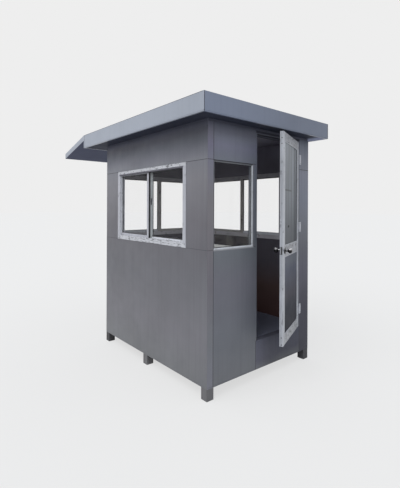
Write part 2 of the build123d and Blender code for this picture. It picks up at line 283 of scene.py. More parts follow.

# %% [markdown]
# Walls darken in a band under the eaves, which is painted shade of the overhang, and are
# darker again about hand height and paler nearer the ground. So their tones are listed by
# height. The door side of the front is darker still, towards the ground most of all: that
# is painted shade of the door. Where a tone also drifts from left to right, a fade gives
# two places and the share at each: the front wall and the threshold darken towards the
# door as painted shade, and the soffit is painted shade over the front wall and painted
# light past its right end, where the ground lights it.

# %% tones of the painted parts
# Every table darkens above about 2.2 m: that band is painted shade under the eaves.
SIDE_TONES = ((0.12, "6f7074"), (0.5, "727177"), (1.0, "68686e"), (1.3, "626167"),
              (1.55, "66646a"), (1.95, "79787e"), (2.12, "797a82"), (2.2, "6b6c76"),
              (2.28, "565963"), (2.36, "464753"), (2.43, "4e505f"))
CORNER_TONES = ((0.12, "7e7e89"), (0.5, "76787e"), (1.0, "6f6c74"), (1.36, "757278"),
                (1.75, "7e7b80"), (2.16, "7d7d8e"), (2.24, "78758a"), (2.32, "6e6d7d"),
                (2.42, "585969"))
FRONT_TONES = ((0.12, "717379"), (0.5, "6e7179"), (1.0, "6f6f79"), (1.26, "6b6f76"),
               (2.12, "777b87"), (2.24, "7b7c8f"), (2.3, "747786"), (2.36, "616372"),
               (2.43, "525564"))
# The pier's and the threshold's dark low tones are painted shade of the door.
PIER_TONES = ((0.12, "4b4a52"), (0.5, "515059"), (0.75, "5a5962"), (1.0, "696873"),
              (1.36, "787980"), (1.75, "80838e"), (2.07, "898b97"), (2.12, "84868f"),
              (2.24, "7f828c"), (2.36, "7b7f8a"), (2.43, "646a76"))
THRESHOLD_TONES = ((0.12, "626367"), (0.2, "52525c"), (0.36, "51525d"))
LINING_TONES = ((0.4, "553f3d"), (0.75, "5a4947"), (1.05, "5f5b64"), (2.2, "6a6771"),
                (2.43, "716e7c"))
SHEET_TONES = ((0.57, "414147"), (0.7, "46474e"), (0.83, "56555c"), (1.07, "616470"),
               (1.17, "6e7179"))

CLADDING = painted("wall_coating", SIDE_TONES, dust=0.12, gloss=0.4)
CORNER_CLADDING = painted("corner_coating", CORNER_TONES, dust=0.1, gloss=0.4)
# The front coat's fade darkens it towards the door and the threshold's fade lightens it away from
# the door: both painted shade.
FRONT_CLADDING = painted("front_coating", FRONT_TONES, dust=0.12, gloss=0.4,
                         fade=(-0.5, -0.15, 1.0, 0.88))
PIER_CLADDING = painted("pier_coating", PIER_TONES, rough=0.6, dust=0.05, gloss=0.08)
THRESHOLD_CLADDING = painted("threshold_coating", THRESHOLD_TONES, rough=0.6, dust=0.1,
                             gloss=0.08, fade=(-0.124, 0.1, 1.6, 1.0))
LINING = painted("inner_lining", LINING_TONES, rough=0.6, cloud=0.12, streaks=0.3, gloss=0.2)
# A dark coat for the doorway's inner faces and the header strip: painted shade.
DOORWAY_SHADE = painted("doorway_coating", "3f3f49", rough=0.6, streaks=0.2, gloss=0.05)
FASCIA = painted("roof_coating", "9ea4b0", rough=0.36, cloud=0.03, streaks=0.2)
# The front fascia's coat is the fascia coat darkened as painted shade, and darker still towards
# the right.
FRONT_FASCIA = painted("front_fascia_coating", "7d869b", rough=0.36, cloud=0.03,
                       streaks=0.2, fade=(-0.85, 0.3, 1.02, 0.72))
# The soffit is a dark coat, painted shade under the roof, and its fade lifts it past the right
# wall as painted light.
SOFFIT = painted("soffit_coating", "414452", rough=0.6, streaks=0.1, gloss=0.05,
                 fade=(0.7, 0.8, 1.0, 6.2))
# The visor's underside: its coat darkened as painted shade.
VISOR_UNDER = painted("visor_lining", "686c80", rough=0.6, streaks=0.1, gloss=0.05)
ROOF_TOP = painted("roof_sheet_coating", "8b919c", rough=0.55)
FOOT = painted("foot_paint", "6a696c", "b9b2ab", rough=0.5, streaks=0.8)
# A darker copy of the foot paint, as painted shade.
SHADED_FOOT = painted("foot_dark_paint", "525153", "b9b2ab", rough=0.6, streaks=0.8, gloss=0.1)
FRAME_STEEL = painted("frame_primer", "4a4a4e", "d9a184", rough=0.6, streaks=0.7)
FLOOR = painted("floor_sheet", "6b6f80", rough=0.45, cloud=0.08, streaks=0.0)
DOOR_SHEET = painted("door_sheet", SHEET_TONES, cloud=0.05, rough=0.6, gloss=0.03)
print("painted finishes", len(bpy.data.materials))

# %% [markdown]
# ## Window and door aluminium
# The window frames are coated off-white and still carry torn scraps of the film that
# protected them: thin ragged marks along the bars and a few dark specks. The door is
# plain silver aluminium, drawn through a die, so it has fine lines along its length.

# %% aluminium
def specks(tree, scale, size):
    """Where small scattered specks lie."""
    cell = add(tree, "TexVoronoi", Vector=spot(tree), Scale=scale)
    return mask(tree, cell.outputs["Distance"], size, size * 0.6)


def aluminium(name, tone, mark, drawn, metallic=0.0, rough=0.4, film=0.6, tear=(1, 1, 1.6),
              bare=0.6):
    """Coated or bare aluminium with die lines, torn film long one way, and specks."""
    material, tree = new_finish(name)
    clouds = mask(tree, noise(tree, 6, 3), 0.35, 0.65, 1.0, 0.0)
    colour = tinted(tree, base_of(tree, tone), clouds, "eeeeee")
    lines = noise(tree, 1.0, 3, stretch=drawn)
    colour = over(tree, mask(tree, lines, 0.5, 0.75, 0, 0.3), colour, mark)
    torn = mask(tree, noise(tree, 16, 7, stretch=tear, distortion=0.6), bare, bare + 0.04)
    colour = over(tree, maths(tree, "MULTIPLY", torn, film), colour, mark)
    dark = maths(tree, "MULTIPLY", specks(tree, 11, 0.05), 0.85)
    colour = over(tree, dark, colour, "3d3b40")
    roughness = wander(tree, 30, 3, rough - 0.08, rough + 0.1)
    dress(tree, colour, roughness, torn, 0.0003, metallic)
    return material


print("aluminium ready")

# %% bars, hinges and screws
WINDOW_WHITE = aluminium("window_coating", "babbc3", "75747a", (3, 3, 3), film=0.8,
                         tear=(3, 3, 0.8), bare=0.61)
WINDOW_RAIL = aluminium("window_rail_coating", "c8c9cf", "515056", (3, 3, 3), film=0.9,
                        tear=(1, 1, 6), bare=0.56)
# A paler copy of the window coat: painted light on side faces of frames and sashes and on beads
# beside stiles.
JAMB_SIDE = aluminium("window_jamb_coating", "e6e8ee", "a9abb0", (3, 3, 3))
WINDOW_INNER = aluminium("window_inner_coating", ((1.38, "d6d3d9"), (1.44, "9d9aa0")),
                         "6d6a6e", (3, 3, 3))
SASH_INNER = aluminium("sash_inner_coating", ((1.38, "bfbbb8"), (1.46, "aaa6a3")),
                       "5b5755", (3, 3, 3))
# The inner sash's coats: a greyer copy of the white as painted shade, and a dark one as painted
# shade on its top rail.
SASH_SHADE = aluminium("shaded_sash_coating", "45464a", "36373b", (3, 3, 3))
SASH_GREY = aluminium("inner_sash_coating", "a3a7a9", "83868a", (3, 3, 3))
DOOR_SILVER = aluminium("door_aluminium", "b8bbc3", "77787f", (60, 60, 2), 0.3, 0.38,
                        tear=(1.5, 1.5, 1), bare=0.61)
DOOR_RAIL = aluminium("door_rail_aluminium", "a4a6ad", "4a4b51", (4, 4, 60), 0.3, 0.38,
                      film=0.85, tear=(2.2, 2.2, 3), bare=0.55)
FRONT_BAR = aluminium("front_window_aluminium", "dfe2e8", "b0b2b8", (30, 30, 2))
LEDGE_BAR = aluminium("ledge_aluminium", "9a9ba0", "84868b", (2, 30, 30))
# The front window's aluminium darkened: painted shade at its head and sides.
SHADED_BAR = aluminium("shaded_window_aluminium", "777980", "5c5e64", (30, 30, 2))
HINGE_METAL = aluminium("hinge_zinc", "bcbec6", "8f9197", (30, 30, 30), 0.2, 0.35, film=0.2)
SCREW_METAL = aluminium("screw_zinc", "8d8f93", "606266", (30, 30, 30), 0.8, 0.4, film=0.2)
print("finishes so far", len(bpy.data.materials))

# %% [markdown]
# ## Rubber, sealant, laminate and dark chrome
# Rubber, sealant, the painted shade under the window heads, latches and the counter are
# plain and matt, so they share one recipe. The knobs are polished dark chrome, which
# shows little but what it mirrors. A wide pale studio would leave them flat, so a painted
# reflection follows which way a face looks: bright facing up, near black facing down.

# %% matt finishes and dark chrome
def matt(name, tone, light, rough, grain, depth):
    """A plain matt finish with soft mottling and fine grain."""
    material, tree = new_finish(name)
    mottled = over(tree, mask(tree, noise(tree, 18, 4), 0.35, 0.68), tone, light)
    grainy = mask(tree, noise(tree, grain, 2), 0.62, 0.75, 0, 0.6)
    colour = over(tree, grainy, mottled, light)
    roughness = wander(tree, 40, 3, rough - 0.06, rough + 0.08)
    dress(tree, colour, roughness, noise(tree, grain * 2, 2), depth)
    return material


RUBBER = matt("gasket_rubber", "222126", "2f2e33", 0.7, 300, 0.0003)
SEALANT = matt("joint_sealant", "26262b", "333338", 0.7, 200, 0.0004)
# A dark strip along the foot of each window head's front: painted shade.
HEAD_SHADE = matt("brush_seal", "5c5b64", "6a6972", 0.8, 700, 0.0004)
LATCH = matt("latch_black", "29282c", "39383c", 0.45, 250, 0.0002)
COUNTER = matt("counter_laminate", "b3b5b3", "bfc1bf", 0.35, 420, 0.0002)


def dark_chrome(name):
    """Polished metal with a painted reflection: bright where a face looks up, near black below."""
    material, tree = new_finish(name)
    upward = add(tree, "SeparateXYZ", s0=add(tree, "NewGeometry").outputs["Normal"]).outputs[2]
    painted_reflection = maths(tree, "MULTIPLY_ADD", noise(tree, 60, 3), 0.3, upward)
    colour = over(tree, mask(tree, painted_reflection, 0.35, 0.9), "232226", "dcdcde")
    dress(tree, colour, wander(tree, 90, 3, 0.16, 0.3), noise(tree, 200, 2), 0.0001, 0.75)
    return material


KNOB_METAL = dark_chrome("knob_dark_chrome")
print("finishes so far", len(bpy.data.materials))

# %% [markdown]
# ## Glass
# The glass is thin and flat, so it does not need to bend light: it is mostly see-through,
# mirrors more at a low angle, and carries a faint film of dust. Mirroring only on the
# outer side of each face keeps it from turning into a mirror inside the pane. The front
# pane is splashed along its foot, and the door's still wears its milky film, with upright
# bands, the last of them painted shade beside the hinge-side bead, a level line that is a
# painted reflection, and a spot.

# %% marks on the door's film
WHITE = "ffffff"
# The last band, next to the hinge-side bead, is painted shade; the level line below is a painted
# reflection.
FILM_BANDS_AND_SHADE = (
    (0.245, WHITE), (0.258, "ebebeb"), (0.288, "ebebeb"), (0.3, WHITE), (0.365, WHITE),
    (0.385, "c6c6c6"), (0.42, "c6c6c6"), (0.43, "e6e6e6"), (0.465, "e6e6e6"), (0.475, "b6b6b6"))
BANDS_END = 0.51
LINE_LEVEL, LINE_HALF, LINE_END = 1.853, 0.008, 0.28
SPOT_X, SPOT_Z, SPOT_RADIUS = 0.156, 1.499, 0.017


def film_marks_and_light(tree, colour):
    """Upright bands with painted shade at the hinge end, a painted reflection line, a dark spot.
    """
    colour = tinted(tree, colour, 1.0, ramp(tree, sideways(tree), BANDS_END, FILM_BANDS_AND_SHADE))
    line = maths(tree, "COMPARE", height(tree), LINE_LEVEL, LINE_HALF)
    short = mask(tree, sideways(tree), LINE_END - 0.02, LINE_END, 1.0, 0.0)
    colour = tinted(tree, colour, maths(tree, "MULTIPLY", line, short), "c6c6c6")
    from_spot = spot(tree, (0.5, 0, 1), (-SPOT_X / 2, 0, -SPOT_Z))
    away = add(tree, "VectorMath", {"operation": "LENGTH"}, s0=from_spot).outputs["Value"]
    inside = mask(tree, away, SPOT_RADIUS - 0.007, SPOT_RADIUS, 1.0, 0.0)
    return tinted(tree, colour, inside, "505256")


print("film bands", len(FILM_BANDS_AND_SHADE))

# %% glass
DIRT_TOP = 1.45


def clear_glass(name, dust, shine, film, film_overlay=None, dirt=0.0):
    """Thin flat glass: see-through, mirrored by a share, dusty, and dirty along its foot."""
    material, tree = new_finish(name)
    through = add(tree, "BsdfTransparent", Color=(0.996, 0.996, 0.996, 1))
    smears = noise(tree, 3, 5, stretch=(8, 8, 0.4))
    streaky = mask(tree, smears, 0.35, 0.65, 0.86, 1.06)
    skin = tinted(tree, base_of(tree, film), 1.0, streaky)
    if film_overlay:
        skin = film_overlay(tree, skin)
    dusty = add(tree, "BsdfPrincipled", Base_Color=skin, Specular_IOR_Level=0.1,
                Roughness=mask(tree, smears, 0.4, 0.8, 0.35, 0.5),
                Normal=relief(tree, noise(tree, 5, 2), 0.0004, 0.4))
    mirror = add(tree, "BsdfGlossy", Roughness=0.03, Color=(1, 1, 1, 1))
    outer = maths(tree, "SUBTRACT", 1.0, add(tree, "NewGeometry").outputs["Backfacing"])
    mirrored = maths(tree, "MULTIPLY", add(tree, "Fresnel", IOR=1.5).outputs[0], outer)
    veil = mask(tree, smears, 0.42, 0.7, dust * 0.8, dust)
    if dirt:
        low = mask(tree, height(tree), DIRT_TOP - 0.03, DIRT_TOP, dirt, 0.0)
        splashes = mask(tree, noise(tree, 9, 4), 0.42, 0.6, 0.15, 1.0)
        veil = maths(tree, "MULTIPLY_ADD", low, splashes, veil)
    glass = blend(tree, veil, through, dusty)
    show(tree, blend(tree, maths(tree, "MULTIPLY", mirrored, shine), glass, mirror))
    return material


WINDOW_GLASS = clear_glass("window_glass", 0.005, 0.25, "9aa09d")
FRONT_GLASS = clear_glass("front_window_glass", 0.004, 0.12, "9a968c", dirt=0.09)
DOOR_GLASS = clear_glass("door_glass_finish", 0.85, 0.07, (
    (1.35, "575c63"), (1.48, "62676e"), (1.6, "757a81"), (1.8, "888d94"), (2.0, "90959c"),
    (2.3, "9ea3aa")), film_marks_and_light)
print("finishes in all", len(bpy.data.materials))

# %% [markdown]
# ## Working with mesh tools
# Pieces are made as by hand. A primitive is added at its size, then faces or edges are
# picked by where they lie and shaped with edit-mode tools. Operators act on whatever is
# selected, so these helpers always clear the selection first.

# %% picking, placing and cutting
def only(*pieces):
    """Object mode with just these pieces selected, the first one active."""
    if bpy.context.mode != "OBJECT":
        bpy.ops.object.mode_set(mode="OBJECT")
    bpy.ops.object.select_all(action="DESELECT")
    for piece in pieces:
        piece.select_set(True)
    if pieces:
        bpy.context.view_layer.objects.active = pieces[0]


def settle(piece, place=(0, 0, 0), turn=(0, 0, 0)):
    """Move a piece and turn it by degrees, then put its place into its mesh."""
    only(piece)
    piece.location = Vector(piece.location) + Vector(place)
    piece.rotation_euler = [math.radians(angle) for angle in turn]
    bpy.ops.object.transform_apply(location=True, rotation=True, scale=True)
    return piece


def block(low, high):
    """A block between two corners given in metres."""
    low, high = Vector(low), Vector(high)
    only()
    bpy.ops.mesh.primitive_cube_add(size=1, location=(low + high) / 2)
    piece = bpy.context.object
    piece.scale = high - low
    return settle(piece)


def pick(piece, wanted=lambda *place: True, kind="FACE"):
    """Edit mode with only the wanted faces (centre, normal) or edges (two ends) picked."""
    only(piece)
    mesh = piece.data
    bpy.context.tool_settings.mesh_select_mode = (False, kind == "EDGE", kind == "FACE")
    for group in (mesh.vertices, mesh.edges, mesh.polygons):
        group.foreach_set("select", [False] * len(group))
    if kind == "FACE":
        chosen = [bool(wanted(face.center, face.normal)) for face in mesh.polygons]
        mesh.polygons.foreach_set("select", chosen)
    else:
        ends = [[mesh.vertices[v].co for v in e.vertices] for e in mesh.edges]
        mesh.edges.foreach_set("select", [bool(wanted(*pair)) for pair in ends])
    bpy.ops.object.mode_set(mode="EDIT")


def cut(piece, point, normal, drop=False):
    """Slice a piece with a plane; drop takes away what the normal points to and closes it."""
    pick(piece)
    bpy.ops.mesh.bisect(plane_co=point, plane_no=normal, use_fill=drop, clear_outer=drop)
    bpy.ops.object.mode_set(mode="OBJECT")
    return piece


print("cutting helpers ready")

# %% shaping
def draw(*way):
    """Draw what is picked out along a vector, with walls behind it."""
    bpy.ops.mesh.extrude_region_move(TRANSFORM_OT_translate={"value": way})


def outwards(piece):
    """Turn every face to look outwards, as a drawn sheet's may not."""
    bpy.ops.mesh.select_all(action="SELECT")
    bpy.ops.mesh.normals_make_consistent(inside=False)
    only(piece)
    return piece


def dish(piece, wanted, border, *way):
    """Sink or raise the wanted faces inside a border."""
    pick(piece, wanted)
    bpy.ops.mesh.inset(thickness=border)
    draw(*way)


def round_edges(piece, wanted, radius, segments=4):
    """Round only the wanted edges."""
    pick(piece, wanted, "EDGE")
    bpy.ops.mesh.bevel(offset=radius, segments=segments, affect="EDGES")


def smooth(piece, degrees=35):
    """Shade a piece smooth but for edges sharper than this."""
    only(piece)
    bpy.ops.object.shade_smooth_by_angle(angle=math.radians(degrees))
    return piece


def soften(piece, width, segments=2):
    """Round all sharp edges a little, as real edges are, and keep flat faces flat in shade."""
    only(piece)
    edge = piece.modifiers.new("edge", "BEVEL")
    edge.width, edge.segments, edge.limit_method = width, segments, "ANGLE"
    edge.angle_limit = math.radians(30)
    bpy.ops.object.modifier_apply(modifier=edge.name)
    smooth(piece)
    shade = piece.modifiers.new("shade", "WEIGHTED_NORMAL")
    shade.keep_sharp = True
    bpy.ops.object.modifier_apply(modifier=shade.name)
    return piece


print("shaping helpers ready")

# %% joining, painting and handing over
def twin(piece):
    """A copy of a piece with its own mesh."""
    only(piece)
    bpy.ops.object.duplicate(linked=False)
    return bpy.context.object


def join(pieces):
    """Several pieces made one object."""
    only(*pieces)
    if len(pieces) > 1:
        bpy.ops.object.join()
    return pieces[0]


def paint(piece, *finishes, choose=None):
    """Give a piece its finishes: the first, or the one chosen by a face's centre and normal."""
    piece.data.materials.clear()
    for finish in finishes:
        piece.data.materials.append(finish)
    for face in piece.data.polygons if choose else ():
        face.material_index = int(choose(face.center, face.normal))
    return piece


def finished(pieces, edge, *finishes, choose=None, segments=2):
    """Pieces joined into one, with rounded edges and paint."""
    return paint(soften(join(pieces), edge, segments), *finishes, choose=choose)


def hand_over(piece, name, body, slot, *nodes):
    """Name a finished piece, let it ride on its body and stand for its CAD nodes."""
    piece.name = piece.data.name = name
    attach(piece, body)
    if nodes:
        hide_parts(*nodes)
    print(name, len(piece.data.polygons), "faces")


print("joining and painting helpers ready")

# %% [markdown]
# ## Wall cladding
# Each wall is a lower panel, the piers beside its window and an upper panel, and they
# meet in fine dark joints. A joint could be painted on, but a real one is a small dip
# between two rounded edges with sealant in the bottom, so each panel is a block with its
# edges rounded, and the panels at the wall's foot have a shallow drip groove round them.
# The faces that look into the room take the dark lining.

# %% room and panels
room_low, room_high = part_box("floor_deck")
floor_top = room_high.z
wall_foot, sill = span("left_wall_lower_panel", 2)
PANEL_EDGE, DRIP_UP, DRIP_TALL, DRIP_DEEP = mm(2.6, 11, 3, 2)


def looks_inwards(centre, normal):
    """True for a face that the room sees."""
    ahead = centre + normal * 5 * MM
    inside = all(room_low[i] < ahead[i] < room_high[i] for i in range(2))
    return inside and abs(normal.z) < 0.5


def groove(piece, level, tall, deep):
    """A shallow groove all round a piece, from one level up."""
    cut(piece, (0, 0, level), (0, 0, 1))
    cut(piece, (0, 0, level + tall), (0, 0, 1))
    pick(piece, lambda c, n: level < c.z < level + tall and abs(n.z) < 0.5)
    bpy.ops.mesh.extrude_region_shrink_fatten(
        TRANSFORM_OT_shrink_fatten={"value": -deep, "use_even_offset": True}
    )
    bpy.ops.object.mode_set(mode="OBJECT")


def cladding(node, coat):
    """The panels of one CAD node: rounded edges, lined inside, grooved at the wall's foot."""
    low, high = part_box(node)
    spans = [(low, high)]
    if node.endswith("piers"):
        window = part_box(node.replace("wall_piers", "window_frame"))
        along = 0 if high.x - low.x > high.y - low.y else 1
        first, second = high.copy(), low.copy()
        first[along], second[along] = window[0][along], window[1][along]
        spans = [(low, first), (second, high)]
    if node.endswith("right_pier"):
        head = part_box("left_wall_upper_panel")[0].z
        spans = [(low, (high.x, high.y, head)), ((low.x, low.y, head), high)]
    panels = []
    for start, end in spans:
        panel = block(start, end)
        if start[2] < wall_foot + 1 * MM:
            groove(panel, start[2] + DRIP_UP, DRIP_TALL, DRIP_DEEP)
        panels.append(panel)

    def finish_at(centre, normal):
        """Lining towards the room; a side wall's front end takes the corner's coat, or the pier's
        painted shade on the right.
        """
        if looks_inwards(centre, normal):
            return 1
        front_end = normal.y < -0.7 and centre.y < room_low.y - 60 * MM
        return 2 if coat == CLADDING and front_end else 0

    end_coat = PIER_CLADDING if node.startswith("right") else CORNER_CLADDING
    panel = finished(panels, PANEL_EDGE, coat, LINING, end_coat, choose=finish_at)
    hand_over(panel, node.replace("_wall_", "_cladding_"), "booth", "wall_cladding", node)

# %% side, rear and front panels
for side in ("left", "right", "rear"):
    for part in ("lower_panel", "piers", "upper_panel"):
        cladding(f"{side}_wall_{part}", CLADDING)
# The header strip takes the doorway's painted shade, the pier and threshold their painted shade of
# the door.
for part, coat in (("lower_panel", FRONT_CLADDING), ("threshold_panel", THRESHOLD_CLADDING),
                   ("right_pier", PIER_CLADDING), ("upper_panel", FRONT_CLADDING),
                   ("mullion_strip", FRONT_CLADDING), ("header_strip", DOORWAY_SHADE)):
    cladding(f"front_wall_{part}", coat)

# %% [markdown]
# ## Sealant in the joints
# A bead of dark sealant lies in each joint, a little below the face. Each bead is a
# slim block with rounded edges, laid along the line where two panels meet.

# %% lines of the walls
BEAD, BEAD_SINK, BEAD_DEPTH, SMEAR = mm(6, 0.2, 3, 0.2)
left_face, right_face = span("left_wall_piers", 0)[0], span("right_wall_piers", 0)[1]
front_face, rear_face = span("front_wall_lower_panel", 1)[0], span("rear_wall_piers", 1)[1]
window_head, wall_head = span("left_wall_upper_panel", 2)
window_front, window_rear = span("left_window_frame", 1)
rear_window = span("rear_window_frame", 0)
door_left, door_right = span("door_frame", 0)
foot_edge, head_edge = wall_foot + PANEL_EDGE, wall_head - PANEL_EDGE
print("sill and window head", round(sill, 3), round(window_head, 3))

# %% sealant
def bead_across(face, inwards, axis, start, end, level):
    """A level bead on a wall face, from start to end along X or Y."""
    low, high = [0, 0, level - BEAD / 2], [0, 0, level + BEAD / 2]
    low[axis], high[axis] = start, end
    across = sorted((face + inwards * BEAD_SINK, face + inwards * (BEAD_SINK + BEAD_DEPTH)))
    low[1 - axis], high[1 - axis] = across
    return block(low, high)


def bead_up(face, inwards, x, low, high):
    """An upright bead on the front or rear face, smeared a little over the edges."""
    across = sorted((face - inwards * SMEAR, face + inwards * BEAD_DEPTH))
    return block((x - BEAD / 2, across[0], low), (x + BEAD / 2, across[1], high))


ACROSS = (
    (left_face, 1, 1, front_face + PANEL_EDGE, window_front),
    (left_face, 1, 1, window_rear, rear_face - PANEL_EDGE),
    (right_face, -1, 1, front_face + PANEL_EDGE, window_front),
    (right_face, -1, 1, window_rear, rear_face - PANEL_EDGE),
    (rear_face, -1, 0, room_low.x, rear_window[0]),
    (rear_face, -1, 0, rear_window[1], room_high.x),
    (front_face, 1, 0, *span("front_wall_mullion_strip", 0)),
    (front_face, 1, 0, left_face + PANEL_EDGE, room_low.x))
UP = (
    (rear_face, -1, room_low.x, foot_edge, head_edge),
    (rear_face, -1, room_high.x, foot_edge, head_edge),
    (front_face, 1, room_low.x, foot_edge, sill),
    (front_face, 1, room_low.x, window_head, head_edge),
    (front_face, 1, door_left, foot_edge, floor_top),
    (front_face, 1, door_right, foot_edge, floor_top))
pier_seam = bead_across(front_face, 1, 0, door_right, right_face - PANEL_EDGE, window_head)
beads = [bead_across(*place, level) for level in (sill, window_head) for place in ACROSS]
beads.append(settle(pier_seam, (0, -2 * SMEAR, 0)))
beads += [bead_up(*place) for place in UP]
hand_over(finished(beads, 0.8 * MM, SEALANT), "wall_joint_sealant", "booth", "wall_cladding")

# %% [markdown]
# ## Feet and floor
# The booth stands on short stubs of square tube. Each is a block with its upright edges
# rounded as rolled tube is, and the closing plate at its foot is set in a little. The
# joists under the floor are the same kind of tube.

# %% feet and joists
CORNER, PLATE, SET_IN, JOIST, JOIST_CORNER = mm(5, 4, 2, 60, 4)
JOISTS = 4

for side in ("left", "right"):
    for row in ("front", "middle", "rear"):
        stub = block(*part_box(f"foot_{row}_{side}"))
        round_edges(stub, lambda a, b: abs((a - b).z) > 10 * MM, CORNER)
        dish(stub, lambda c, n: n.z < -0.9, PLATE, 0, 0, SET_IN)
        # Feet on the right and at the rear stand in the booth's shade, so they take the painted
        # shade.
        finish = SHADED_FOOT if side == "right" or row == "rear" else FOOT
        hand_over(finished([stub], 0.7 * MM, finish), f"foot_stub_{row}_{side}", "booth",
                  "foot_steel", f"foot_{row}_{side}")

joist_low, joist_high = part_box("floor_joists")
pitch = (joist_high.y - joist_low.y - JOIST) / (JOISTS - 1)
joists = []
for index in range(JOISTS):
    start = joist_low.y + index * pitch
    joist = block((joist_low.x, start, joist_low.z), (joist_high.x, start + JOIST, joist_high.z))
    round_edges(joist, lambda a, b: abs((a - b).x) > 10 * MM, JOIST_CORNER)
    joists.append(joist)
joists = finished(joists, 0.7 * MM, FRAME_STEEL)
hand_over(joists, "floor_joist_tubes", "booth", "frame_steel", "floor_joists")
paint(frame["nodes"]["floor_deck"], FLOOR)

# %% [markdown]
# ## The counter
# A laminate board runs along the left wall below the window. A thin band along its front
# is sliced apart by a cut, and its front edges are rounded more than the rest.

# %% counter
low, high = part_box("counter")
board = block(low, high)
STRIP, FRONT_ROUND, EDGE_ROUND = mm(2, 1.6, 0.6)
cut(board, (high.x - STRIP, 0, 0), (1, 0, 0))
round_edges(board, lambda a, b: min(a.x, b.x) > high.x - 1 * MM, FRONT_ROUND, 3)
board = finished([board], EDGE_ROUND, COUNTER)
hand_over(board, "counter_board", "booth", "counter_board", "counter")

# %% [markdown]
# ## Ceiling and roof
# The ceiling board lies on the walls and shows outside as a thin band under the soffit.
# The roof is a tray: four fascias folded from coated sheet, with a fine hem line near
# their lower edge, a soffit below and a deck of sheets between low joint covers above.
# The visor is one slab whose far edge is pushed down, so a block is made and its rear
# face moved.

# %% ceiling and fascias
def faces_down(centre, normal):
    """True for a face that looks at the ground."""
    return normal.z < -0.5


ceiling = finished([block(*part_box("ceiling_panel"))], 1.5 * MM, CLADDING, LINING,
                   choose=faces_down)
hand_over(ceiling, "ceiling_board", "booth", "wall_cladding", "ceiling_panel")

GROOVE_WIDE, GROOVE_DEEP, LIP = mm(6, 2, 4)
HEM_UP, HEM_TALL, HEM_DEEP = mm(8, 2.5, 1.6)


def joint_groove(piece, axis, start, facing):
    """A sunk upright joint in the face that looks along the other level axis."""
    ahead = Vector((0, 0, 0))
    ahead[1 - axis] = facing
    for place in (start, start + GROOVE_WIDE):
        point, normal = Vector((0, 0, 0)), Vector((0, 0, 0))
        point[axis], normal[axis] = place, 1
        cut(piece, point, normal)
    pick(piece, lambda c, n: start < c[axis] < start + GROOVE_WIDE and n.dot(ahead) > 0.9)
    draw(*(-GROOVE_DEEP * ahead))
    bpy.ops.object.mode_set(mode="OBJECT")


for side in ("front", "rear", "left", "right"):
    low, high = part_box(f"roof_fascia_{side}")
    across = 0 if side in ("front", "rear") else 1
    facing = -1 if side in ("front", "left") else 1
    outer = low[1 - across] if facing < 0 else high[1 - across]
    joints = [high[across] - 2 * MM - GROOVE_WIDE]
    if across == 0:
        joints = [low.x + 3 * MM, high.x - 3 * MM - GROOVE_WIDE]
    fascia = block(low, high)
    for joint in joints:
        joint_groove(fascia, across, joint, facing)
    groove(fascia, low.z + HEM_UP, HEM_TALL, HEM_DEEP)
    cut(fascia, (0, 0, high.z - LIP), (0, 0, 1))

    def finish_at(centre, normal):
        """Painted shade under the deck's edge, sealant in the joints, and the front's painted
        shade.
        """
        sunk = 0.7 * MM < abs(centre[1 - across] - outer) < 4 * MM
        if across and centre.z > high.z - LIP:
            return 3
        if sunk and any(joint < centre[across] < joint + GROOVE_WIDE for joint in joints):
            return 2
        return side == "front" and abs(normal.x) < 0.5

    fascia = finished([fascia], 1.2 * MM, FASCIA, FRONT_FASCIA, SEALANT, SOFFIT,
                      choose=finish_at, segments=3)
    hand_over(fascia, f"fascia_board_{side}", "booth", "roof_cladding", f"roof_fascia_{side}")
paint(frame["nodes"]["roof_soffit"], SOFFIT)

# %% roof deck and visor
low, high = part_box("roof_deck")
COVER, RISE, VISOR = mm(34, 5, 70)
SHEETS = 4
deck = [block(low, (high.x, high.y, high.z - RISE))]
for index in range(SHEETS + 1):
    middle = low.x + COVER / 2 + index * (high.x - low.x - COVER) / SHEETS
    cover = block((middle - COVER / 2, low.y, high.z - RISE + 0.2 * MM),
                  (middle + COVER / 2, high.y, high.z))
    pick(cover, lambda c, n: n.z > 0.9)
    bpy.ops.transform.resize(value=(0.6, 1, 1), center_override=(middle, 0, high.z))
    deck.append(cover)
deck = finished(deck, 0.8 * MM, ROOF_TOP)
hand_over(deck, "roof_deck_sheets", "booth", "roof_sheet", "roof_deck")

low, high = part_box("rear_visor")
drop = high.z - low.z - VISOR
visor = block((low.x, low.y, high.z - VISOR), high)
pick(visor, lambda c, n: n.y > 0.9)
bpy.ops.transform.translate(value=(0, 0, -drop))
# Faces looking down take the darker coat: painted shade.
visor = finished([visor], 1.6 * MM, FASCIA, VISOR_UNDER, choose=faces_down, segments=3)
hand_over(visor, "visor_slab", "booth", "roof_cladding", "rear_visor")

# %% [markdown]
# ## Bars with a section
# Window and door bars are aluminium pushed through a die, so each has one section all
# along. The section is drawn as a flat sheet, grooves are cut out of it, and it is drawn
# up into a bar. Ends that meet in a corner are sliced at 45 degrees, a hair short, so the
# corner joint shows as a fine line.

# %% section bars
JOINT = 0.15 * MM


